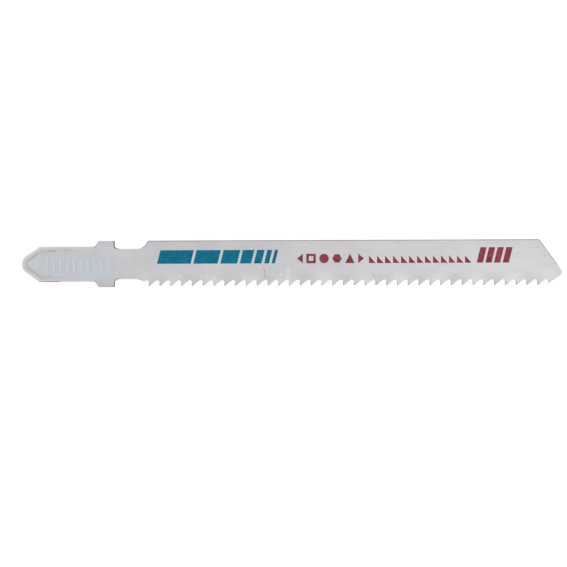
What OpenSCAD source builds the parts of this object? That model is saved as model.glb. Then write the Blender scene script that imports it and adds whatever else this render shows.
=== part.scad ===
// Jigsaw blade with a lugged shank, wavy-set teeth and a printed side.
// X runs from the shank to the tip, Y up to the spine and Z through the steel.
// X = 0 is the front of the lugs, Y = 0 the middle line of the shank, and
// Z = 0 the surface that the blade lies on, which its leaning teeth touch.

/* [Steel] */
// Length of the whole blade, from the shank's nose to the tip
blade_l = 100; // [80:1:140]
// Thickness of the steel
steel_t = 1; // [0.8:0.05:1.5]
// Height of the spine above the shank's middle line
spine_h = 4.25; // [3.8:0.05:5]
// Width of the body, from the spine to the tooth points
body_w = 8.4; // [7.8:0.1:10]

/* [Shank] */
// Length of the shank, from its nose to the front of the lugs
shank_l = 17.2; // [14:0.1:20]
// Width of the shank
shank_w = 6.55; // [5.8:0.05:7.2]
// Slope of the nose's flanks against the middle line, in degrees
nose_slope = 34; // [28:1:45]
// Radius of the nose
nose_r = 1.9; // [1.2:0.1:2.4]
// Width of the bevel pressed round the shank's edge
bevel_w = 0.8; // [0.4:0.05:1]
// Depth of the pressed bevel
bevel_d = 0.12; // [0.05:0.01:0.25]

/* [Lugs] */
// Width over both lugs
lug_span = 8.55; // [8:0.05:9.6]
// Length of a lug's outer edge
lug_l = 2.95; // [2:0.05:4]
// Length of the slope behind a lug
lug_slope_l = 0.6; // [0.3:0.05:1.2]
// Radius between a lug's front and the neck
lug_fillet_r = 0.7; // [0.3:0.05:0.8]

/* [Neck] */
// Width of the neck
neck_w = 5.65; // [5:0.05:6]
// Length of the neck, from the lugs to the shoulder
neck_l = 4.1; // [2.5:0.05:6]
// Radius of the hollow that rises to the spine
shoulder_r = 2.2; // [1.8:0.05:4]
// Length of the slope under the neck
heel_l = 1.35; // [1:0.05:2.5]
// Drop of the slope under the neck
heel_drop = 0.4; // [0.2:0.05:0.6]

/* [Teeth] */
// Distance from the slope under the neck to the first tooth's point
first_tooth = 0.85; // [0.6:0.05:2]
// Distance between tooth points
pitch = 2; // [1.6:0.1:2.6]
// Slope of a tooth's back, in degrees
back_slope = 37; // [30:1:42]
// Radius at the root of each gullet
gullet_r = 0.4; // [0.2:0.05:0.5]
// Flat left on each tooth's point
point_w = 0.06; // [0.03:0.01:0.15]

/* [Wavy set] */
// How far the tooth points lean out to each side
set_lean = 0.22; // [0.1:0.01:0.35]
// Length of one wave of the set
wave_l = 7; // [4:0.25:12]
// Height of the leaning strip above the gullets
set_h = 2; // [1:0.1:2.2]
// Length over which the first wave grows
set_ramp_l = 3; // [1:0.5:6]
// Distance from the first tooth's point to a crest of the wave
first_crest = 3.5; // [3:0.1:9]

/* [Tip] */
// Height of the tip's nose below the shank's middle line
tip_drop = 1.8; // [0.8:0.05:2.2]
// Slope of the long front edge, in degrees
tip_front_slope = 54; // [40:1:70]
// Slope of the short lower edge, in degrees
tip_lower_slope = 32; // [28:1:55]
// Radius of the tip's nose
tip_r = 0.8; // [0.2:0.1:1.2]

/* [Print] */
// Thickness of the ink
ink_t = 0.02; // [0.01:0.01:0.05]
// Distance from the shoulder to the print
print_x = 1.7; // [1:0.1:5]
// Distance of the print's foot below the spine
print_drop = 4.25; // [3.6:0.05:4.6]
// Lean of the slanted bars, in degrees
print_lean = 14; // [0:1:25]
// Height of the teal bars
teal_h = 2.5; // [1.5:0.05:3]
// Space between neighbouring teal bars
teal_gap = 0.5; // [0.3:0.05:0.8]
// Space between the teal and the red print
colour_gap = 3.5; // [1:0.1:6]
// Height of the red marks
mark_h = 1.75; // [1:0.05:2.5]
// Space between neighbouring marks
mark_gap = 0.65; // [0.3:0.05:1]
// Space between the groups of red print
group_gap = 0.95; // [0.6:0.05:2]
// Number of teeth in the printed row
row_teeth = 13; // [3:1:15]
// Distance between the teeth in the printed row
row_pitch = 1.48; // [1.2:0.02:1.6]
// Height of the printed row
row_h = 1.35; // [0.8:0.05:2]
// Number of slanted red bars
red_bars = 4; // [1:1:5]
// Width of a slanted red bar
red_bar_w = 1.15; // [0.6:0.05:1.4]
// Height of the slanted red bars
red_bar_h = 2.85; // [1.5:0.05:3]

/* [Hidden] */
$fn = 48;
steel_colour = [0.77, 0.77, 0.78];
teal_colour = [0.05, 0.42, 0.54];
red_colour = [0.56, 0.22, 0.28];

// Room by which cutting shapes run past what they cut
over = 1;
steel_z = set_lean;
top_z = steel_z + steel_t;

// Shank
nose_x = -shank_l;
nose_mid_x = nose_x + nose_r;
lug_back_x = -lug_l - lug_slope_l;
// The flanks run just inside the round nose, so that the two cross
flank_reach = 0.98 * nose_r;
flank_y = flank_reach * cos(nose_slope);
flank_x = nose_mid_x - flank_reach * sin(nose_slope);
flank_end_x = flank_x + (shank_w / 2 - flank_y) / tan(nose_slope);
bevel_slope = bevel_d / bevel_w;

// Neck and shoulder
shoulder_rise = spine_h - neck_w / 2;
shoulder_l = sqrt(pow(shoulder_r, 2) - pow(shoulder_r - shoulder_rise, 2));
shoulder_x = neck_l + shoulder_l;
heel_x = neck_l + heel_l;
heel_y = -neck_w / 2 - heel_drop;

// Teeth
point_y = spine_h - body_w;
tooth_x = heel_x + first_tooth;
gullet_run = pitch - point_w - gullet_r;
// The line of a tooth's back runs just inside the round root, so the two cross
back_reach = 0.97 * gullet_r;
gullet_mid_h = gullet_run * tan(back_slope) - back_reach / cos(back_slope);
tooth_h = gullet_mid_h + gullet_r;

// Tip
tip_x = blade_l - shank_l;
tip_mid = [tip_x - tip_r, -tip_drop];
tip_front = tip_mid + tip_r * [sin(tip_front_slope), cos(tip_front_slope)];
tip_lower = tip_mid + tip_r * [sin(tip_lower_slope), -cos(tip_lower_slope)];
function front_edge_x(y) = tip_front[0] - (y - tip_front[1]) / tan(tip_front_slope);
function lower_edge_x(y) = tip_lower[0] - (tip_lower[1] - y) / tan(tip_lower_slope);
last_rake_x = lower_edge_x(point_y + tooth_h) - tooth_h / 2;
gullets = floor((last_rake_x - tooth_x) / pitch);

// Wavy set, which leans from the bend line down to the points and on past them.
// Each row holds its share of the way down, and its share of the full lean.
bend_y = point_y + tooth_h + set_h;
soft_row = [0.45, 0.3];
past_points = 1.3;
set_steepness = (1 - soft_row[1]) / (1 - soft_row[0]);
set_rows = [[0, 0], soft_row, [past_points, 1 + (past_points - 1) * set_steepness]];
crest_x = tooth_x + first_crest;
// Steps in which one wave is drawn, with a step's end at each crest and trough
wave_steps = 12;
set_step_l = wave_l / wave_steps;
set_x = crest_x - set_step_l * ceil((crest_x - heel_x) / set_step_l);
set_steps = ceil((tip_x + over - set_x) / set_step_l);
function growth(x) = min(1, (x - set_x) / set_ramp_l);
function lean(x) = set_lean * growth(x) * cos(360 * (x - crest_x) / wave_l);
function row_y(row) = bend_y - row[0] * (bend_y - point_y);

// Print, from the shoulder to the tip
ink_x = shoulder_x + print_x;
ink_y = spine_h - print_drop;
edge_gap = 0.8;
teal_bars = [6.2, 4.5, 3.1, 2.1, 1.4, 0.9, 0.6];
function sum_to(list, n) = n == 0 ? 0 : list[n - 1] + sum_to(list, n - 1);
teal_l = sum_to(teal_bars, len(teal_bars)) + teal_gap * (len(teal_bars) - 1)
    + teal_h * tan(print_lean);
pointer_w = 0.6 * mark_h;
mark_step = mark_h + mark_gap;
marks_l = 2 * (pointer_w + mark_gap) + 4 * mark_step - mark_gap;
mark_wall = 0.25 * mark_h;
row_gap = 0.28;
red_bar_gap = 0.45;
row_l = row_teeth * row_pitch - row_gap;
marks_x = ink_x + teal_l + colour_gap;
row_x = marks_x + marks_l + group_gap;
red_bars_x = row_x + row_l + group_gap;

// The shank's bevelled section at a distance r from its middle
function bevelled_section(r) = [
    [0, 0],
    [r - bevel_w, 0],
    [r, bevel_d],
    [r, steel_t - bevel_d],
    [r - bevel_w, steel_t],
    [0, steel_t]
];

// A wedge that cuts the bevel along an edge of length l, which lies on the X
// axis with the steel on its right-hand side, at both faces of the steel
module bevel_cut(l) {
    for (face = [0, 1])
        translate([0, 0, face * steel_t])
            mirror([0, 0, face])
                rotate([90, 0, 90])
                    linear_extrude(l)
                        polygon([
                            [over, bevel_d + over * bevel_slope],
                            [-bevel_w - over, -over * bevel_slope],
                            [over, -over * bevel_slope]
                        ]);
}

// The round nose, a disc of which the front half shows
module nose() {
    translate([nose_mid_x, 0, 0])
        rotate_extrude()
            polygon(bevelled_section(nose_r));
}

// The flat part of the shank, from the nose to the lugs
module shank() {
    difference() {
        linear_extrude(steel_t)
            polygon([
                [nose_mid_x, 0],
                [flank_x, -flank_y],
                [flank_end_x, -shank_w / 2],
                [lug_back_x, -shank_w / 2],
                [lug_back_x, shank_w / 2],
                [flank_end_x, shank_w / 2],
                [flank_x, flank_y]
            ]);
        for (side = [0, 1])
            mirror([0, side, 0])
                translate([flank_end_x, shank_w / 2, 0]) {
                    translate([-over, 0, 0])
                        bevel_cut(lug_back_x - flank_end_x + 2 * over);
                    rotate([0, 0, nose_slope])
                        translate([-shank_l, 0, 0])
                            bevel_cut(shank_l + over);
                }
    }
}

// The hollow corner between a lug's front and the neck
module lug_fillet() {
    translate([0, neck_w / 2])
        difference() {
            square(lug_fillet_r);
            translate([lug_fillet_r, lug_fillet_r])
                circle(lug_fillet_r);
        }
}

// The space in front of one tooth's rake face, up to its gullet's root
module gullet() {
    translate([-pitch, 0]) {
        polygon([
            [point_w, -over],
            [point_w, 0],
            [
                point_w + gullet_run - back_reach * sin(back_slope),
                gullet_mid_h + back_reach * cos(back_slope)
            ],
            [pitch, gullet_mid_h],
            [pitch, -over]
        ]);
        translate([pitch - gullet_r, gullet_mid_h])
            circle(gullet_r);
    }
}

// The outline of the lugs, neck, body and tip
module outline() {
    difference() {
        union() {
            polygon([
                [lug_back_x, -shank_w / 2],
                [-lug_l, -lug_span / 2],
                [0, -lug_span / 2],
                [0, -neck_w / 2],
                [neck_l, -neck_w / 2],
                [heel_x, heel_y],
                [tooth_x, heel_y],
                [tooth_x, point_y],
                [lower_edge_x(point_y), point_y],
                tip_lower,
                tip_mid,
                tip_front,
                [front_edge_x(spine_h), spine_h],
                [neck_l, spine_h],
                [neck_l, neck_w / 2],
                [0, neck_w / 2],
                [0, lug_span / 2],
                [-lug_l, lug_span / 2],
                [lug_back_x, shank_w / 2]
            ]);
            translate(tip_mid)
                circle(tip_r);
            lug_fillet();
            mirror([0, 1])
                lug_fillet();
        }
        translate([neck_l, neck_w / 2 + shoulder_r])
            circle(shoulder_r);
        for (i = [0:gullets])
            translate([tooth_x + i * pitch, point_y])
                gullet();
    }
}

// The strip below the bend line, before the teeth are cut: a wave that grows
// from nothing at the bend line to its full lean at the tooth points
module wavy_strip() {
    rows = len(set_rows);
    sections = [
        for (i = [0:set_steps])
            let (x = set_x + i * set_step_l)
                each concat(
                    [for (row = set_rows) [x, row_y(row), row[1] * lean(x)]],
                    [
                        for (j = [rows - 1:-1:0])
                            [x, row_y(set_rows[j]), steel_t + set_rows[j][1] * lean(x)]
                    ]
                )
    ];
    around = 2 * rows;
    sides = [
        for (i = [0:set_steps - 1], j = [0:around - 1])
            let (a = around * i, b = a + around, k = (j + 1) % around)
                each [[a + j, a + k, b + k], [a + j, b + k, b + j]]
    ];
    last = around * set_steps;
    ends = [
        for (j = [0:rows - 2])
            let (across = around - 1 - j)
                each [
                    [across, across - 1, j + 1, j],
                    [last + j, last + j + 1, last + across - 1, last + across]
                ]
    ];
    polyhedron(sections, concat(sides, ends), convexity = 10);
}

// The steel strip with its wave, wider than the outline that is cut from it
module stock() {
    linear_extrude(steel_t)
        polygon([
            [lug_back_x, -lug_span],
            [set_x, -lug_span],
            [set_x, bend_y],
            [tip_x + over, bend_y],
            [tip_x + over, lug_span],
            [lug_back_x, lug_span]
        ]);
    wavy_strip();
}

module blade() {
    color(steel_colour)
        translate([0, 0, steel_z]) {
            intersection() {
                translate([0, 0, -set_lean - over])
                    linear_extrude(steel_t + 2 * (set_lean + over))
                        outline();
                stock();
            }
            shank();
            nose();
        }
}

// The flat area of the body that takes ink
module print_area() {
    top = spine_h - edge_gap;
    polygon([
        [shoulder_x, bend_y],
        [front_edge_x(bend_y) - edge_gap, bend_y],
        [front_edge_x(top) - edge_gap, top],
        [shoulder_x, top]
    ]);
}

// Lays flat shapes on the printed side as ink
module ink() {
    translate([0, 0, top_z])
        linear_extrude(ink_t)
            intersection() {
                print_area();
                children();
            }
}

// A slanted bar of width w and height h
module slanted_bar(w, h) {
    run = h * tan(print_lean);
    polygon([[0, 0], [w, 0], [w + run, h], [run, h]]);
}

// Slanted bars, each narrower than the last
module teal_band() {
    for (i = [0:len(teal_bars) - 1])
        translate([sum_to(teal_bars, i) + i * teal_gap, 0])
            slanted_bar(teal_bars[i], teal_h);
}

// Marks for what the blade cuts: a square tube, a round bar, a hexagon bar and
// a three-cornered bar, each within a square of side mark_h
module mark(n) {
    middle = [mark_h / 2, mark_h / 2];
    if (n == 0)
        difference() {
            square(mark_h);
            translate([mark_wall, mark_wall])
                square(mark_h - 2 * mark_wall);
        }
    if (n == 1)
        translate(middle)
            circle(mark_h / 2);
    if (n == 2)
        translate(middle)
            circle(mark_h / 2, $fn = 6);
    if (n == 3)
        polygon([[0, 0], [mark_h, 0], [mark_h / 2, mark_h]]);
}

// A pointer that looks to the left
module pointer() {
    polygon([[0, mark_h / 2], [pointer_w, 0], [pointer_w, mark_h]]);
}

// The marks between two pointers
module marks() {
    pointer();
    for (n = [0:3])
        translate([pointer_w + mark_gap + n * mark_step, 0])
            mark(n);
    translate([marks_l, 0])
        mirror([1, 0])
            pointer();
}

// A row of saw teeth
module tooth_row() {
    for (i = [0:row_teeth - 1])
        translate([i * row_pitch, 0])
            polygon([[0, 0], [row_pitch - row_gap, 0], [0, row_h]]);
}

// Slanted bars of one width
module red_band() {
    for (i = [0:red_bars - 1])
        translate([i * (red_bar_w + red_bar_gap), 0])
            slanted_bar(red_bar_w, red_bar_h);
}

module teal_print() {
    color(teal_colour)
        ink()
            translate([ink_x, ink_y])
                teal_band();
}

module red_print() {
    color(red_colour)
        ink() {
            translate([marks_x, ink_y])
                marks();
            translate([row_x, ink_y])
                tooth_row();
            translate([red_bars_x, ink_y])
                red_band();
        }
}

blade();
teal_print();
red_print();
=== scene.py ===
# Looks of a jigsaw blade that lies on a pale table, seen from straight above.
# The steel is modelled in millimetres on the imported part's own places, with its
# wavy set bent smoothly, and then brought to metres. X runs to the tip, Y to
# the spine and Z up.
import math

import bmesh
import bpy
from mathutils import Matrix, Vector


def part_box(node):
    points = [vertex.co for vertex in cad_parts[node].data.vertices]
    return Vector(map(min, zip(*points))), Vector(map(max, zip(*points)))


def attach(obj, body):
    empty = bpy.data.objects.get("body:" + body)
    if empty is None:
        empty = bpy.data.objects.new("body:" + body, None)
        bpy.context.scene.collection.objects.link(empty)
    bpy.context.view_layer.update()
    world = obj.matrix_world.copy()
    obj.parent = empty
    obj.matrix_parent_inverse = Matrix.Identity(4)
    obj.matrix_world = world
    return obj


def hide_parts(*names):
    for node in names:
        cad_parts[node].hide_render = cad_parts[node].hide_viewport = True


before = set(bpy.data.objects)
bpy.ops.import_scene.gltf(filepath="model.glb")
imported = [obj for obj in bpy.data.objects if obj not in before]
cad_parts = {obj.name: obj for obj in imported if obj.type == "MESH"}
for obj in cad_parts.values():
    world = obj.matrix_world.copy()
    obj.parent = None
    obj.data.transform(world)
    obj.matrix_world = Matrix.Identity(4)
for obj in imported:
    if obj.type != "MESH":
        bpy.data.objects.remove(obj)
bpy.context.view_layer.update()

MM = 0.001
TO_MM = 1000

# Places that the frame gives
blade_low, blade_high = (corner * TO_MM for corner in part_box("blade"))
nose_x = blade_low.x
tip_x = blade_high.x
spine_y = blade_high.y
lug_y = -blade_low.y
top_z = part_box("teal_print")[0].z * TO_MM

# Steel
steel_t = 1.0
body_w = 8.4
point_y = spine_y - body_w

# Shank
shank_w = 6.55
nose_slope = math.radians(34)
nose_r = 1.9
nose_steps = 20
bevel_w = 0.8
bevel_d = 0.12
crease_w = 0.32

# Lugs and neck
lug_l = 2.95
lug_slope_l = 0.6
lug_fillet_r = 0.7
fillet_steps = 8
neck_w = 5.65
neck_l = 4.1
shoulder_r = 2.2
shoulder_steps = 16
shoulder_round = 0.4
shoulder_round_steps = 6
heel_l = 1.35
heel_drop = 0.4

# Teeth, and where each is cut across, from the rake face before it
first_tooth = 0.85
pitch = 2.0
back_slope = math.radians(37)
gullet_r = 0.4
gullet_back_steps = 3
gullet_steps = 6
point_w = 0.06
tooth_cuts = (0.4, 0.8, 1.2, 1.5, 1.75, 2.0)

# Wavy set
set_lean = 0.22
wave_l = 7.0
set_h = 2.0
set_ramp_l = 3.0
first_crest = 3.5
soft_share = 0.5
soft_rows = 6

# Tip
tip_drop = 1.8
tip_front_slope = math.radians(54)
tip_lower_slope = math.radians(32)
tip_r = 0.8
tip_steps = 8

# Edges, and how close two points are when they are one
edge_round = 0.1
sharp_angle = math.radians(30)
same_place = 0.0005

# Derived places
lug_back_x = -lug_l - lug_slope_l
nose_mid_x = nose_x + nose_r
heel_x = neck_l + heel_l
heel_y = -neck_w / 2 - heel_drop
tooth_x = heel_x + first_tooth
gullet_run = pitch - point_w - gullet_r
gullet_mid_h = gullet_run * math.tan(back_slope) - gullet_r / math.cos(back_slope)
tooth_h = gullet_mid_h + gullet_r
bend_y = point_y + tooth_h + set_h
crest_x = tooth_x + first_crest
tip_mid = Vector((tip_x - tip_r, -tip_drop))
tip_front = tip_mid + tip_r * Vector((math.sin(tip_front_slope), math.cos(tip_front_slope)))
tip_lower = tip_mid + tip_r * Vector((math.sin(tip_lower_slope), -math.cos(tip_lower_slope)))


def lower_edge_x(y):
    """Where the short lower edge of the tip is at height y."""
    return tip_lower.x - (tip_lower.y - y) / math.tan(tip_lower_slope)


def lower_edge_y(x):
    """Height of the short lower edge of the tip at x."""
    return tip_lower.y - (tip_lower.x - x) * math.tan(tip_lower_slope)


gullets = math.floor((lower_edge_x(point_y + tooth_h) - tooth_h / 2 - tooth_x) / pitch)
last_tooth_x = tooth_x + gullets * pitch

# Stretches over which painted shade or a painted highlight grows, from where there is none to where
# it is full.
# At the lugs and the tooth points the painted highlight on the edge has only a share of its
# strength.
nose_shade_x = (nose_x + 5.5, nose_x + 2.5)
low_crease_x = (-10.9, -11.6)
low_crease_y = (-2.0, -2.4)
pale_nose_x = (nose_x + 4.0, nose_x + 2.0)
pale_low_side_x = (-10.3, -9.6)
pale_upper_side_y = (0.0, 1.0)
pale_shank_end_x = (lug_back_x, lug_back_x - 0.3)
pale_lug_back_x = (lug_back_x, lug_back_x + 0.5)
pale_lug_front_x = (-0.15, -0.35)
pale_lug_share = 0.6
pale_neck_start_x = (0.7, 1.2)
pale_neck_end_x = (5.9, 4.6)
pale_teeth_x = (neck_l, heel_x)
pale_teeth_y = (0.0, -1.0)
pale_gullet_y = (point_y + 0.1, point_y + 0.7)
pale_point_share = 0.4
pale_tip_x = (last_tooth_x + 0.3, last_tooth_x + 0.8)
pale_tip_y = (-1.9, -2.4)
spine_shade_x = (neck_l, neck_l + 2.0)
spine_shade_y = (0.0, spine_y)
printed_side_z = (top_z - 0.2, top_z - 0.15)

# Colours of the coat, the steel below it, its wear and marks, its etched field, and the painted
# shade and highlights on it
COAT = (0.620, 0.612, 0.632, 1)
# Painted highlight on the pale stretches of the rounded corners
EDGE_HIGHLIGHT = (0.72, 0.715, 0.73, 1)
# Painted highlight on the rim
RIM_HIGHLIGHT = (0.85, 0.85, 0.86, 1)
# Painted shade in the crease
CREASE_SHADE = (0.50, 0.49, 0.51, 1)
SHADE = (0, 0, 0, 1)
SIDE_STEEL = ((0.34, 0.335, 0.345, 1), (0.44, 0.435, 0.45, 1))
# Painted dark shade on the rounded corners
CORNER_SHADE = ((0.03, 0.03, 0.033, 1), (0.08, 0.08, 0.085, 1))
DARK = (0.16, 0.16, 0.17, 1)
PALE = (0.86, 0.87, 0.90, 1)
ETCHED_FIELD = (0.56, 0.615, 0.695, 1)
ETCHED_SIDE = (0.42, 0.43, 0.46, 1)
ETCHED_BAR = (0.70, 0.74, 0.82, 1)
spine_dark = 0.055

# The etched block of upright bars
etched_block = {
    "Left": -13.2,
    "Right": -0.7,
    "Middle": -0.25,
    "Half Height": 1.6,
    "Pitch": 1.25,
    "Field Foot": -2.5,
}

# Small marks on the printed side, painted shade and painted highlights among them: start, end, half
# width, shade and strength.
# Those on the shank cross its crease and rim.
SHANK_MARKS = [
    ((-12.2, 2.43), (-10.9, 2.46), 0.22, DARK, 0.45),
    ((-9.3, 2.57), (-8.3, 2.56), 0.22, DARK, 0.25),
    ((-15.2, 1.35), (-14.3, 1.95), 0.16, DARK, 0.20),
    ((-6.7, -2.95), (-4.2, -2.93), 0.16, PALE, 0.35),
]
BODY_MARKS = [
    # Painted shade at the front of the upper lug and along its fillet
    ((-0.12, 4.12), (-0.12, 3.55), 0.18, DARK, 0.75),
    ((-0.12, 3.55), (0.06, 3.08), 0.20, DARK, 0.95),
    ((0.06, 3.08), (0.34, 2.80), 0.18, DARK, 0.95),
    # Painted shade along the front and the end of the lower lug
    ((-0.14, -3.45), (-0.16, -4.1), 0.14, DARK, 0.35),
    ((-0.2, -4.14), (-2.7, -4.14), 0.14, DARK, 0.20),
    # A curved scratch
    ((27.37, -0.81), (27.70, -1.22), 0.14, DARK, 0.45),
    ((27.70, -1.22), (27.87, -1.74), 0.14, DARK, 0.45),
    ((27.87, -1.74), (27.76, -2.33), 0.14, DARK, 0.45),
    ((27.76, -2.33), (27.57, -2.70), 0.14, DARK, 0.35),
    # Painted highlights above the teeth
    ((32.3, -1.0), (32.1, -2.4), 0.65, PALE, 0.25),
    ((12.1, -2.35), (12.15, -2.6), 0.30, PALE, 0.30),
    ((18.35, -2.65), (18.45, -2.85), 0.30, PALE, 0.35),
    ((24.0, -2.4), (24.1, -2.7), 0.30, PALE, 0.40),
    ((26.4, -2.6), (26.5, -2.8), 0.30, PALE, 0.35),
    # Slightly darker patches on the lugs
    ((-2.3, 3.7), (-0.5, 3.7), 0.70, DARK, 0.07),
    ((-2.3, -3.7), (-0.5, -3.7), 0.70, DARK, 0.08),
    # Specks on the body
    ((30.9, -2.0), (30.85, -2.2), 0.22, PALE, 0.65),
    ((11.9, -2.0), (12.05, -2.1), 0.20, PALE, 0.50),
    ((16.6, -1.4), (16.75, -1.9), 0.14, DARK, 0.25),
    ((47.8, -2.15), (48.0, -2.3), 0.30, DARK, 0.28),
    ((36.0, 3.7), (36.3, 3.6), 0.14, DARK, 0.20),
    # Specks near the tip
    ((78.26, 2.99), (78.45, 2.85), 0.20, DARK, 0.35),
    ((79.5, 1.35), (79.6, 1.15), 0.20, DARK, 0.30),
    ((77.98, 2.75), (78.05, 2.65), 0.16, DARK, 0.25),
    ((81.2, -0.1), (81.25, -0.25), 0.20, DARK, 0.25),
]

# Inks, each where it is thin, where it is full and where the steel shows through
TEAL = ((0.006, 0.175, 0.290, 1), (0.0, 0.125, 0.205, 1), (0.2, 0.35, 0.42, 1))
RED = ((0.31, 0.068, 0.088, 1), (0.19, 0.024, 0.037, 1), (0.42, 0.25, 0.27, 1))


# Drawing of an outline, one edge at a time, from the end of the chain
def start_chain(bm, x, y):
    return bmesh.ops.create_vert(bm, co=(x, y, top_z))["vert"][0]


def line_to(bm, end, x, y):
    new_end = bmesh.ops.extrude_vert_indiv(bm, verts=[end])["verts"][0]
    new_end.co.x = x
    new_end.co.y = y
    return new_end


def arc_about(bm, end, middle, degrees, steps):
    """Turns the end of the chain about a middle, to the left where degrees is above 0."""
    made = bmesh.ops.spin(
        bm,
        geom=[end],
        cent=(middle[0], middle[1], top_z),
        axis=(0, 0, 1),
        angle=math.radians(degrees),
        steps=steps,
    )
    return next(v for v in made["geom_last"] if isinstance(v, bmesh.types.BMVert))


def fill_chain(bm):
    """Closes the chain of loose edges and fills it."""
    loose = [edge for edge in bm.edges if not edge.link_faces]
    ends = [v for edge in loose for v in edge.verts if len(v.link_edges) == 1]
    if len(ends) == 2:
        loose.append(bm.edges.new(ends))
    return bmesh.ops.contextual_create(bm, geom=loose)["faces"][0]


def draw_shank(bm):
    """The shank, from the back of the upper lug round the nose to the lower lug."""
    flank_x = nose_mid_x - nose_r * math.sin(nose_slope)
    flank_y = nose_r * math.cos(nose_slope)
    flank_end_x = flank_x + (shank_w / 2 - flank_y) / math.tan(nose_slope)
    nose_turn = 180 - 2 * math.degrees(nose_slope)
    end = start_chain(bm, lug_back_x, shank_w / 2)
    end = line_to(bm, end, flank_end_x, shank_w / 2)
    end = line_to(bm, end, flank_x, flank_y)
    end = arc_about(bm, end, (nose_mid_x, 0), nose_turn, nose_steps)
    end = line_to(bm, end, flank_end_x, -shank_w / 2)
    line_to(bm, end, lug_back_x, -shank_w / 2)
    return fill_chain(bm)


def draw_gullet(bm, end, rake_x):
    """One tooth's back and the gullet, up to the top of the next rake face."""
    middle = Vector((rake_x - gullet_r, point_y + gullet_mid_h))
    rise = Vector((-math.sin(back_slope), math.cos(back_slope)))
    root = middle + gullet_r * rise
    end = line_to(bm, end, root.x, root.y)
    end = arc_about(bm, end, middle, -math.degrees(back_slope), gullet_back_steps)
    return arc_about(bm, end, middle, -90, gullet_steps)


def draw_lower_lug(bm, end):
    """The lower lug, from its sloped back to the neck, up to the heel."""
    lug_corner_y = -neck_w / 2 - lug_fillet_r
    end = line_to(bm, end, -lug_l, -lug_y)
    end = line_to(bm, end, 0, -lug_y)
    end = line_to(bm, end, 0, lug_corner_y)
    end = arc_about(bm, end, (lug_fillet_r, lug_corner_y), -90, fillet_steps)
    end = line_to(bm, end, neck_l, -neck_w / 2)
    return line_to(bm, end, heel_x, heel_y)


def draw_teeth(bm, end):
    """The teeth, from the heel to the short lower edge of the tip."""
    back_x = tooth_x - pitch + point_w
    end = line_to(bm, end, back_x + (heel_y - point_y) / math.tan(back_slope), heel_y)
    end = draw_gullet(bm, end, tooth_x)
    tooth_point_y = point_y - point_w * math.tan(back_slope)
    for i in range(gullets):
        end = line_to(bm, end, tooth_x + i * pitch, tooth_point_y)
        end = draw_gullet(bm, end, tooth_x + (i + 1) * pitch)
    return line_to(bm, end, last_tooth_x, lower_edge_y(last_tooth_x))


def draw_tip(bm, end):
    """The tip, from its short lower edge round its corner and up to the spine."""
    end = line_to(bm, end, tip_lower.x, tip_lower.y)
    tip_turn = 180 - math.degrees(tip_front_slope + tip_lower_slope)
    end = arc_about(bm, end, tip_mid, tip_turn, tip_steps)
    front_x = tip_front.x - (spine_y - tip_front.y) / math.tan(tip_front_slope)
    return line_to(bm, end, front_x, spine_y)


def draw_shoulder(bm, end):
    """The spine's rounded end and the hollow shoulder down to the neck."""
    shoulder_mid = Vector((neck_l, neck_w / 2 + shoulder_r))
    round_y = spine_y - shoulder_round
    reach = shoulder_r + shoulder_round
    turn = math.acos((shoulder_mid.y - round_y) / reach)
    round_x = neck_l + reach * math.sin(turn)
    end = line_to(bm, end, round_x, spine_y)
    end = arc_about(bm, end, (round_x, round_y), math.degrees(turn), shoulder_round_steps)
    return arc_about(bm, end, shoulder_mid, -math.degrees(turn), shoulder_steps)


def draw_upper_lug(bm, end):
    """The neck's upper side and the upper lug, to the lug's sloped back."""
    lug_corner_y = neck_w / 2 + lug_fillet_r
    end = line_to(bm, end, lug_fillet_r, neck_w / 2)
    end = arc_about(bm, end, (lug_fillet_r, lug_corner_y), -90, fillet_steps)
    end = line_to(bm, end, 0, lug_y)
    end = line_to(bm, end, -lug_l, lug_y)
    return line_to(bm, end, lug_back_x, shank_w / 2)


def draw_body(bm):
    """The lugs, neck, body, teeth and tip, round to the left from the lower lug's back."""
    end = start_chain(bm, lug_back_x, -shank_w / 2)
    for draw in (draw_lower_lug, draw_teeth, draw_tip, draw_shoulder, draw_upper_lug):
        end = draw(bm, end)
    return fill_chain(bm)


# Cutting of the toothed strip into a grid that can be bent
def parts_of(faces):
    return list({part for face in faces for part in (face, *face.edges, *face.verts)})


def cut(bm, faces, place, normal):
    """Cuts the faces along a plane, and keeps both halves."""
    bmesh.ops.bisect_plane(
        bm, geom=parts_of(faces), dist=same_place, plane_co=place, plane_no=normal
    )


def middle_of(face):
    return face.calc_center_bounds()


def cut_strip(bm):
    """Cuts the strip below the bend line across at each tooth and along in soft rows."""
    body = [face for face in bm.faces if middle_of(face).x > lug_back_x]
    cut(bm, body, (0, bend_y, 0), (0, 1, 0))
    starts = [tooth_x - pitch + i * pitch for i in range(gullets + 2)]
    columns = [start + step for start in starts for step in tooth_cuts]
    columns = [x for x in columns if heel_x < x < tip_x - tip_r / 2]
    for x in [heel_x, *columns]:
        reach = [
            face
            for face in bm.faces
            if middle_of(face).y < bend_y
            and min(v.co.x for v in face.verts) < x < max(v.co.x for v in face.verts)
        ]
        cut(bm, reach, (x, 0, 0), (1, 0, 0))
    for i in range(1, soft_rows + 1):
        y = bend_y - i * soft_share * (bend_y - point_y) / soft_rows
        strip = [
            face
            for face in bm.faces
            if middle_of(face).x > heel_x and middle_of(face).y < bend_y
        ]
        cut(bm, strip, (0, y, 0), (0, 1, 0))


def lean_share(y):
    """Share of the full lean at height y: it starts softly below the bend line."""
    down = min(1, max(0, (bend_y - y) / (bend_y - point_y)))
    steepness = 2 / (2 - soft_share)
    if down < soft_share:
        return steepness * down**2 / (2 * soft_share)
    return 1 - (1 - down) * steepness


def lean(x):
    """How far the tooth points lean out at x."""
    growth = min(1, max(0, (x - heel_x) / set_ramp_l))
    return set_lean * growth * math.cos(math.tau * (x - crest_x) / wave_l)


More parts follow.
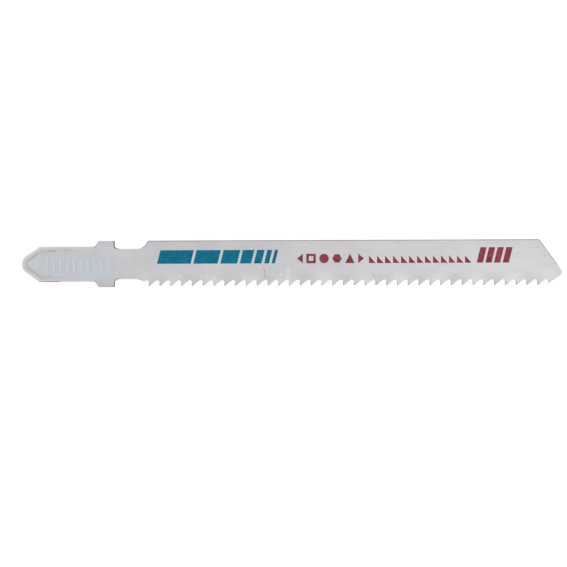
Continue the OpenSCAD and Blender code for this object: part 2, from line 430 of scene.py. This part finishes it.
def bend_set(bm):
    """Leans the strip below the bend line to both sides in turn."""
    for v in bm.verts:
        if v.co.x > heel_x and v.co.y < bend_y:
            v.co.z += lean(v.co.x) * lean_share(v.co.y)


def press_rim(bm, rim):
    """Presses the shank's edge in at both faces."""
    middle_z = top_z - steel_t / 2
    for v in bm.verts:
        if v[rim]:
            v.co.z += bevel_d if v.co.z < middle_z else -bevel_d


# The blade's materials, in the order of its material slots
FLAT, SIDE, CREASE, RIM, CORNER = range(5)


def inset_ring(bm, face, width, slot):
    """Insets a face and gives the ring round it a material slot."""
    ring = bmesh.ops.inset_region(
        bm, faces=[face], thickness=width, use_boundary=True, use_even_offset=True
    )["faces"]
    for part in ring:
        part.material_index = slot


def make_shank(bm, rim):
    """The shank, with a crease and a rim round its edge as far as its lugs."""
    shank = draw_shank(bm)
    inset_ring(bm, shank, bevel_w, RIM)
    inset_ring(bm, shank, crease_w, CREASE)
    run_out_x = lug_back_x - bevel_w
    cut(bm, list(bm.faces), (run_out_x, 0, 0), (1, 0, 0))
    for face in bm.faces:
        if middle_of(face).x > run_out_x - crease_w:
            face.material_index = FLAT
    for v in bm.verts:
        v[rim] = v.is_boundary and v.co.x < run_out_x + crease_w / 2


def thicken(bm):
    """Gives the flat outline the steel's thickness, downwards."""
    bmesh.ops.recalc_face_normals(bm, faces=bm.faces)
    made = bmesh.ops.extrude_face_region(bm, geom=list(bm.faces))["geom"]
    under = [v for v in made if isinstance(v, bmesh.types.BMVert)]
    bmesh.ops.translate(bm, vec=(0, 0, -steel_t), verts=under)
    for face in bm.faces:
        heights = [v.co.z for v in face.verts]
        if max(heights) - min(heights) > steel_t / 2:
            face.material_index = SIDE


def shade_smooth(bm):
    """Smooth faces, apart from where they meet at a sharp angle."""
    bmesh.ops.recalc_face_normals(bm, faces=bm.faces)
    for face in bm.faces:
        face.smooth = True
    for edge in bm.edges:
        edge.smooth = edge.calc_face_angle(math.pi) < sharp_angle


def make_object(name, bm, materials):
    """Brings a finished mesh to metres and gives it an object at the origin."""
    bmesh.ops.scale(bm, vec=(MM, MM, MM), verts=bm.verts)
    mesh = bpy.data.meshes.new(name)
    bm.to_mesh(mesh)
    bm.free()
    piece = bpy.data.objects.new(name, mesh)
    bpy.context.scene.collection.objects.link(piece)
    for material in materials:
        mesh.materials.append(material)
    return piece


def round_edges(piece):
    """Rounds the sharp edges, with a material of their own."""
    bevel = piece.modifiers.new("edge_round", "BEVEL")
    bevel.width = edge_round * MM
    bevel.segments = 2
    bevel.limit_method = "ANGLE"
    bevel.angle_limit = sharp_angle
    bevel.use_clamp_overlap = False
    bevel.harden_normals = True
    bevel.material = CORNER


def make_blade(materials):
    """The whole blade, cut out flat, thickened, pressed and set."""
    bm = bmesh.new()
    rim = bm.verts.layers.int.new("rim")
    make_shank(bm, rim)
    draw_body(bm)
    bmesh.ops.remove_doubles(bm, verts=bm.verts, dist=same_place)
    cut_strip(bm)
    thicken(bm)
    press_rim(bm, rim)
    bend_set(bm)
    shade_smooth(bm)
    blade = make_object("blade_steel", bm, materials)
    round_edges(blade)
    return blade


# Shader nodes
def add_node(tree, kind, **settings):
    node = tree.nodes.new(kind)
    for name, value in settings.items():
        setattr(node, name, value)
    return node


def feed(tree, socket, value):
    """Links a socket to another node's output, or sets it to a value."""
    if isinstance(value, bpy.types.NodeSocket):
        tree.links.new(value, socket)
    else:
        socket.default_value = value


def new_group(name, inputs, outputs):
    """An empty group with named sockets, given as (name, kind, default value)."""
    group = bpy.data.node_groups.new(name, "ShaderNodeTree")
    for direction, sockets in (("INPUT", inputs), ("OUTPUT", outputs)):
        for socket_name, kind, value in sockets:
            socket = group.interface.new_socket(
                name=socket_name, in_out=direction, socket_type="NodeSocket" + kind
            )
            if value is not None:
                socket.default_value = value
    return group, add_node(group, "NodeGroupInput"), add_node(group, "NodeGroupOutput")


def use_group(tree, group, vector, values=None):
    """Places a group with the vector and with values of its own."""
    node = add_node(tree, "ShaderNodeGroup", node_tree=group)
    tree.links.new(vector, node.inputs["Vector"])
    for name, value in (values or {}).items():
        node.inputs[name].default_value = value
    return node


def noise(tree, vector, scale, detail, stretch=(1, 1, 1)):
    """A noise between 0 and 1, drawn out by dividing the scale along an axis."""
    place = add_node(tree, "ShaderNodeMapping")
    feed(tree, place.inputs["Scale"], stretch)
    feed(tree, place.inputs["Vector"], vector)
    node = add_node(tree, "ShaderNodeTexNoise")
    feed(tree, node.inputs["Scale"], scale)
    feed(tree, node.inputs["Detail"], detail)
    feed(tree, node.inputs["Vector"], place.outputs["Vector"])
    return node.outputs["Fac"]


def spread(tree, value, low, high, new_low=0.0, new_high=1.0):
    """Takes a value from one range to another and keeps it inside."""
    node = add_node(tree, "ShaderNodeMapRange")
    feed(tree, node.inputs["Value"], value)
    feed(tree, node.inputs["From Min"], low)
    feed(tree, node.inputs["From Max"], high)
    feed(tree, node.inputs["To Min"], new_low)
    feed(tree, node.inputs["To Max"], new_high)
    return node.outputs["Result"]


def math_node(tree, operation, *values):
    node = add_node(tree, "ShaderNodeMath", operation=operation)
    for socket, value in zip(node.inputs, values):
        feed(tree, socket, value)
    return node.outputs["Value"]


def vector_node(tree, operation, result, *values):
    node = add_node(tree, "ShaderNodeVectorMath", operation=operation)
    for socket, value in zip(node.inputs, values):
        feed(tree, socket, value)
    return node.outputs[result]


def mix_colour(tree, share, first, second, blend="MIX"):
    node = add_node(tree, "ShaderNodeMix", data_type="RGBA", blend_type=blend)
    for i, value in ((0, share), (6, first), (7, second)):
        feed(tree, node.inputs[i], value)
    return node.outputs[2]


def split_vector(tree, vector):
    node = add_node(tree, "ShaderNodeSeparateXYZ")
    feed(tree, node.inputs["Vector"], vector)
    return [node.outputs[axis] for axis in "XYZ"]


def both(tree, first, second):
    """A mask of where two masks meet."""
    return math_node(tree, "MULTIPLY", first, second)


def either(tree, first, second):
    """A mask of where one mask or the other is."""
    return math_node(tree, "MAXIMUM", first, second)


def make_grain_group():
    """Fine lengthwise grain and soft mottling of a coat on rolled steel."""
    group, given, result = new_group(
        "rolled_grain",
        [("Vector", "Vector", None), ("Grain Scale", "Float", 9.0), ("Mottle Scale", "Float", 0.5)],
        [("Grain", "Float", None), ("Mottle", "Float", None)],
    )
    vector = given.outputs["Vector"]
    grain = noise(group, vector, given.outputs["Grain Scale"], 3.0, (0.05, 1.0, 1.0))
    mottle = noise(group, vector, given.outputs["Mottle Scale"], 2.0, (0.35, 1.0, 1.0))
    feed(group, result.inputs["Grain"], spread(group, grain, 0.3, 0.7))
    feed(group, result.inputs["Mottle"], spread(group, mottle, 0.3, 0.7))
    return group


def make_mark_group():
    """A mask of one short mark from a start to an end, in millimetres."""
    group, given, result = new_group(
        "short_mark",
        [
            ("Vector", "Vector", None),
            ("Start", "Vector", None),
            ("End", "Vector", None),
            ("Half Width", "Float", 0.1),
        ],
        [("Mask", "Float", None)],
    )
    start = given.outputs["Start"]
    along = vector_node(group, "SUBTRACT", "Vector", given.outputs["End"], start)
    off = vector_node(group, "SUBTRACT", "Vector", given.outputs["Vector"], start)
    reach = vector_node(group, "DOT_PRODUCT", "Value", off, along)
    length_squared = vector_node(group, "DOT_PRODUCT", "Value", along, along)
    share = spread(group, math_node(group, "DIVIDE", reach, length_squared), 0.0, 1.0)
    nearest = vector_node(group, "SCALE", "Vector", along)
    feed(group, nearest.node.inputs["Scale"], share)
    aside = vector_node(group, "SUBTRACT", "Vector", off, nearest)
    distance = vector_node(group, "LENGTH", "Value", aside)
    mask = spread(group, distance, given.outputs["Half Width"], 0.0)
    feed(group, result.inputs["Mask"], mask)
    return group


def make_etch_group():
    """Masks of upright bars, of the bars' sides and of the field round them, on the printed side."""
    group, given, result = new_group(
        "etched_bars",
        [
            ("Vector", "Vector", None),
            ("Left", "Float", 0.0),
            ("Right", "Float", 1.0),
            ("Middle", "Float", 0.0),
            ("Half Height", "Float", 1.0),
            ("Pitch", "Float", 1.0),
            ("Field Foot", "Float", 0.0),
        ],
        [("Bars", "Float", None), ("Sides", "Float", None), ("Field", "Float", None)],
    )
    vector = given.outputs["Vector"]
    middle = given.outputs["Middle"]
    half_height = given.outputs["Half Height"]
    x, y, z = split_vector(group, vector)
    printed_side = spread(group, z, *printed_side_z)
    from_left = math_node(group, "SUBTRACT", x, given.outputs["Left"])
    to_right = math_node(group, "SUBTRACT", given.outputs["Right"], x)
    inside_x = math_node(group, "MINIMUM", from_left, to_right)

    # The block that the bars fill, ragged at its edge and partly rubbed away
    off_middle = math_node(group, "ABSOLUTE", math_node(group, "SUBTRACT", y, middle))
    inside_y = math_node(group, "SUBTRACT", half_height, off_middle)
    inside = math_node(group, "MINIMUM", inside_x, inside_y)
    raggedness = spread(group, noise(group, vector, 2.5, 3.0), 0.3, 0.7, 0.0, 0.6)
    ragged = math_node(group, "SUBTRACT", inside, raggedness)
    block = both(group, spread(group, ragged, 0.0, 0.2), printed_side)
    rubbed = spread(group, noise(group, vector, 2.0, 4.0), 0.42, 0.57)
    seen = both(group, block, rubbed)

    # The bars and their sides, by how far a place is from the middle between two bars
    steps = math_node(group, "DIVIDE", from_left, given.outputs["Pitch"])
    away = math_node(group, "PINGPONG", steps, 0.5)
    bar = spread(group, away, 0.3, 0.42)
    side = both(group, spread(group, away, 0.08, 0.18), spread(group, away, 0.32, 0.24))

    # The field, from its foot to the top of the bars, with soft edges
    above_foot = math_node(group, "SUBTRACT", y, given.outputs["Field Foot"])
    top = math_node(group, "ADD", middle, half_height)
    below_top = math_node(group, "SUBTRACT", top, y)
    between = math_node(group, "MINIMUM", above_foot, below_top)
    inside_field = math_node(group, "MINIMUM", inside_x, between)
    field = both(group, spread(group, inside_field, -0.6, 0.6), printed_side)

    feed(group, result.inputs["Bars"], both(group, bar, seen))
    feed(group, result.inputs["Sides"], both(group, side, seen))
    feed(group, result.inputs["Field"], field)
    return group


def make_places_group():
    """Masks of the places where the coat or its edge has painted shade or a painted highlight."""
    group, given, result = new_group(
        "blade_places",
        [("Vector", "Vector", None)],
        [
            ("Nose", "Float", None),
            ("Outward", "Float", None),
            ("Crease Shade", "Float", None),
            ("Edge Highlight", "Float", None),
            ("Spine Shade", "Float", None),
        ],
    )
    x, y, z = split_vector(group, given.outputs["Vector"])

    # The nose, the rim towards its outer side for its painted highlight, and the creases for their
    # painted shade
    nose = spread(group, x, *nose_shade_x)
    from_middle = math_node(group, "ABSOLUTE", math_node(group, "SUBTRACT", z, top_z - steel_t / 2))
    outward = spread(group, from_middle, steel_t / 2, steel_t / 2 - bevel_d)
    low_crease = both(group, spread(group, y, *low_crease_y), spread(group, x, *low_crease_x))

    # Painted highlight on the edge of the shank: the nose, the upper side, and the lower side
    # towards the lug
    on_nose = spread(group, x, *pale_nose_x)
    sides = either(group, spread(group, y, *pale_upper_side_y), spread(group, x, *pale_low_side_x))
    on_shank = both(group, spread(group, x, *pale_shank_end_x), sides)

    # Painted highlight on the edge of the lugs, partly, and of the neck
    past_back = spread(group, x, *pale_lug_back_x, 0.0, pale_lug_share)
    on_lugs = both(group, past_back, spread(group, x, *pale_lug_front_x))
    past_front = spread(group, x, *pale_neck_start_x)
    on_neck = both(group, past_front, spread(group, x, *pale_neck_end_x))

    # Painted highlight on the edge at the gullets, least at the tooth points, and at the short lower
    # edge of the tip
    on_teeth = both(group, spread(group, y, *pale_teeth_y), spread(group, x, *pale_teeth_x))
    in_gullet = both(group, spread(group, y, *pale_gullet_y, pale_point_share, 1.0), on_teeth)
    on_tip = both(group, spread(group, x, *pale_tip_x), spread(group, y, *pale_tip_y))

    pale = on_nose
    for stretch in (on_shank, on_neck, on_lugs, in_gullet, on_tip):
        pale = either(group, pale, stretch)
    spine = both(group, spread(group, y, *spine_shade_y), spread(group, x, *spine_shade_x))
    feed(group, result.inputs["Nose"], nose)
    feed(group, result.inputs["Outward"], outward)
    feed(group, result.inputs["Crease Shade"], either(group, nose, low_crease))
    feed(group, result.inputs["Edge Highlight"], pale)
    feed(group, result.inputs["Spine Shade"], spine)
    return group


def make_ink_group():
    """Pinholes in printed ink, and how well it covers."""
    group, given, result = new_group(
        "thin_ink",
        [("Vector", "Vector", None), ("Scale", "Float", 6.0)],
        [("Bare", "Float", None), ("Cover", "Float", None)],
    )
    vector = given.outputs["Vector"]
    specks = noise(group, vector, given.outputs["Scale"], 5.0)
    cover = noise(group, vector, 1.3, 3.0)
    feed(group, result.inputs["Bare"], spread(group, specks, 0.68, 0.74))
    feed(group, result.inputs["Cover"], spread(group, cover, 0.3, 0.7))
    return group


# Materials
def new_material(name):
    """A material with its tree, its shader and the place on the piece in millimetres."""
    material = bpy.data.materials.new(name)
    material.use_nodes = True
    tree = material.node_tree
    surface = tree.nodes["Principled BSDF"]
    place = add_node(tree, "ShaderNodeTexCoord")
    scale = add_node(tree, "ShaderNodeMapping")
    scale.inputs["Scale"].default_value = (TO_MM, TO_MM, TO_MM)
    tree.links.new(place.outputs["Object"], scale.inputs["Vector"])
    return material, tree, surface, scale.outputs["Vector"]


def link_bump(tree, surface, height, distance):
    """Bump of a height map, as deep as a distance in millimetres."""
    bump = add_node(tree, "ShaderNodeBump")
    bump.inputs["Distance"].default_value = distance * MM
    tree.links.new(height, bump.inputs["Height"])
    tree.links.new(bump.outputs["Normal"], surface.inputs["Normal"])


def coat_shade(tree, vector, groups):
    """Colour of the coat with its mottling and grain, and how strong the grain is."""
    grain = use_group(tree, groups["grain"], vector)
    darker = tuple(0.92 * part for part in COAT[:3]) + (1,)
    shade = mix_colour(tree, grain.outputs["Mottle"], darker, COAT)
    lines = spread(tree, grain.outputs["Grain"], 0.0, 1.0, 0.96, 1.04)
    return mix_colour(tree, 1.0, shade, lines, "MULTIPLY"), grain.outputs["Grain"]


def add_layer(tree, shade, mask, strength, layer):
    """Lays a colour over the shade where the mask is."""
    return mix_colour(tree, math_node(tree, "MULTIPLY", mask, strength), shade, layer)


def add_marks(tree, vector, groups, shade, marks):
    """Lays the small marks over the shade, one after the other."""
    for start, end, half_width, layer, strength in marks:
        values = {"Start": (*start, top_z), "End": (*end, top_z), "Half Width": half_width}
        mark = use_group(tree, groups["mark"], vector, values)
        shade = add_layer(tree, shade, mark.outputs["Mask"], strength, layer)
    return shade


def finish_coat(tree, surface, shade, grain, roughness):
    """Coat whose roughness follows its grain."""
    tree.links.new(shade, surface.inputs["Base Color"])
    rough = spread(tree, grain, 0.0, 1.0, roughness - 0.04, roughness + 0.05)
    tree.links.new(rough, surface.inputs["Roughness"])
    surface.inputs["Metallic"].default_value = 0.35
    link_bump(tree, surface, grain, 0.004)


def make_coat(groups):
    """Light grey satin coat on the flat steel, with painted shade along the spine, a rubbed etched
    field and small marks, some of them painted shade or painted highlights.
    """
    material, tree, surface, vector = new_material("grey_coat")
    shade, grain = coat_shade(tree, vector, groups)
    places = use_group(tree, groups["places"], vector)
    shade = add_layer(tree, shade, places.outputs["Spine Shade"], spine_dark, SHADE)
    etch = use_group(tree, groups["etch"], vector, etched_block)
    shade = add_layer(tree, shade, etch.outputs["Field"], 0.75, ETCHED_FIELD)
    shade = add_layer(tree, shade, etch.outputs["Sides"], 0.35, ETCHED_SIDE)
    shade = add_layer(tree, shade, etch.outputs["Bars"], 0.5, ETCHED_BAR)
    shade = add_marks(tree, vector, groups, shade, SHANK_MARKS + BODY_MARKS)
    finish_coat(tree, surface, shade, grain, 0.42)
    return material


def make_crease(groups):
    """The crease inside the rim, with painted shade round the nose and along a stretch below."""
    material, tree, surface, vector = new_material("creased_coat")
    shade, grain = coat_shade(tree, vector, groups)
    places = use_group(tree, groups["places"], vector)
    shade = mix_colour(tree, places.outputs["Crease Shade"], shade, CREASE_SHADE)
    shade = add_marks(tree, vector, groups, shade, SHANK_MARKS)
    finish_coat(tree, surface, shade, grain, 0.42)
    return material


def make_rim(groups):
    """The pressed rim, with a painted highlight towards its outer side, strongest at the nose."""
    material, tree, surface, vector = new_material("rim_coat")
    shade, grain = coat_shade(tree, vector, groups)
    places = use_group(tree, groups["places"], vector)
    outward = math_node(tree, "POWER", places.outputs["Outward"], 2.0)
    strength = spread(tree, places.outputs["Nose"], 0.0, 1.0, 0.4, 1.0)
    shade = add_layer(tree, shade, outward, strength, RIM_HIGHLIGHT)
    shade = add_marks(tree, vector, groups, shade, SHANK_MARKS)
    finish_coat(tree, surface, shade, grain, 0.38)
    return material


def steel_shade(tree, vector, groups, colours):
    """Mottled colour of cut steel, or of the painted shade on the corners, and how strong its fine
    grain is.
    """
    grain = use_group(tree, groups["grain"], vector, {"Grain Scale": 14.0})
    return mix_colour(tree, grain.outputs["Mottle"], *colours), grain.outputs["Grain"]


def finish_steel(tree, surface, shade, grain, metallic):
    """Cut steel whose roughness follows its grain."""
    tree.links.new(shade, surface.inputs["Base Color"])
    tree.links.new(spread(tree, grain, 0.0, 1.0, 0.36, 0.5), surface.inputs["Roughness"])
    surface.inputs["Metallic"].default_value = metallic
    link_bump(tree, surface, grain, 0.006)


def make_side(groups):
    """Cut steel of the sides, under a thinner coat."""
    material, tree, surface, vector = new_material("cut_side")
    shade, grain = steel_shade(tree, vector, groups, SIDE_STEEL)
    finish_steel(tree, surface, shade, grain, 0.5)
    return material


def make_corner(groups):
    """The rounded corners between faces and sides, in painted dark shade apart from the stretches
    with a painted highlight.
    """
    material, tree, surface, vector = new_material("rounded_corner")
    shade, grain = steel_shade(tree, vector, groups, CORNER_SHADE)
    places = use_group(tree, groups["places"], vector)
    shade = mix_colour(tree, places.outputs["Edge Highlight"], shade, EDGE_HIGHLIGHT)
    finish_steel(tree, surface, shade, grain, 0.3)
    return material


def make_ink(name, colours, groups):
    """Printed ink with thin places and a few pinholes."""
    thin, full, bare = colours
    material, tree, surface, vector = new_material(name)
    ink = use_group(tree, groups["ink"], vector)
    shade = mix_colour(tree, ink.outputs["Cover"], thin, full)
    shade = mix_colour(tree, ink.outputs["Bare"], shade, bare)
    tree.links.new(shade, surface.inputs["Base Color"])
    rough = spread(tree, ink.outputs["Cover"], 0.0, 1.0, 0.5, 0.4)
    tree.links.new(rough, surface.inputs["Roughness"])
    surface.inputs["Specular IOR Level"].default_value = 0.08
    link_bump(tree, surface, ink.outputs["Cover"], 0.004)
    return material


def dress_node(node, material):
    """Gives a carried-over solid its material."""
    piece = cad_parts[node]
    for material_slot in piece.material_slots:
        material_slot.material = material


groups = {
    "grain": make_grain_group(),
    "mark": make_mark_group(),
    "etch": make_etch_group(),
    "places": make_places_group(),
    "ink": make_ink_group(),
}
blade_materials = [
    make_coat(groups),
    make_side(groups),
    make_crease(groups),
    make_rim(groups),
    make_corner(groups),
]
blade = make_blade(blade_materials)
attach(blade, "root")
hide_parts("blade")

dress_node("teal_print", make_ink("teal_ink", TEAL, groups))
dress_node("red_print", make_ink("red_ink", RED, groups))

# Framing of the photograph: its side in pixels, how many make a millimetre, the
# pixel where the part's origin lies, and how far the blade is turned in it
picture_side = 567
picture_scale = 5.405
picture_origin = Vector((114.57, 263.95))
picture_turn = math.radians(0.21)

# Table, light and lens
table_half = 600
table_grey = (0.25, 0.25, 0.25, 1)
table_glow = 0.82
sky_strength = 0.75
lens_mm = 135


def make_table():
    """A pale table at the height of the surface that the blade lies on."""
    bm = bmesh.new()
    bmesh.ops.create_grid(bm, x_segments=1, y_segments=1, size=table_half)
    material, _, surface, _ = new_material("pale_table")
    surface.inputs["Base Color"].default_value = table_grey
    surface.inputs["Roughness"].default_value = 0.9
    surface.inputs["Emission Color"].default_value = (1, 1, 1, 1)
    surface.inputs["Emission Strength"].default_value = table_glow
    table = make_object("table", bm, [material])


def add_softbox(name, place, aim, size, watts):
    """A square soft light at a place, turned to what it lights, in millimetres."""
    light = bpy.data.lights.new(name, "AREA")
    light.shape = "SQUARE"
    light.size = size * MM
    light.energy = watts
    lamp = bpy.data.objects.new(name, light)
    toward = (Vector(aim) - Vector(place)).normalized()
    turn = toward.to_track_quat("-Z", "Y").to_matrix().to_4x4()
    lamp.matrix_world = Matrix.Translation(Vector(place) * MM) @ turn
    bpy.context.scene.collection.objects.link(lamp)


def add_sky(strength):
    """Even white light from all round."""
    world = bpy.data.worlds.new("studio")
    world.use_nodes = True
    background = world.node_tree.nodes["Background"]
    background.inputs["Color"].default_value = (1, 1, 1, 1)
    background.inputs["Strength"].default_value = strength
    bpy.context.scene.world = world


def add_camera(lens):
    """A camera straight above, at the height where the blade has its size in the picture."""
    camera = bpy.data.cameras.new("camera")
    camera.lens = lens
    camera.sensor_fit = "HORIZONTAL"
    shown_w = picture_side / picture_scale
    height = shown_w * lens / camera.sensor_width
    right = (picture_side / 2 - picture_origin.x) / picture_scale
    up = -(picture_side / 2 - picture_origin.y) / picture_scale
    turn = Matrix.Rotation(-picture_turn, 4, "Z")
    aim = turn @ Vector((right, up, top_z))
    obj = bpy.data.objects.new("camera", camera)
    obj.matrix_world = Matrix.Translation((aim + Vector((0, 0, height))) * MM) @ turn
    bpy.context.scene.collection.objects.link(obj)
    bpy.context.scene.camera = obj


make_table()
add_sky(sky_strength)
add_softbox("right_softbox", place=(190, 60, 330), aim=(50, 0, 0), size=260, watts=0.27)
add_softbox("far_softbox", place=(20, 360, 150), aim=(35, 0, 0), size=200, watts=0.3)
add_camera(lens_mm)
bpy.context.scene.view_settings.view_transform = "Standard"
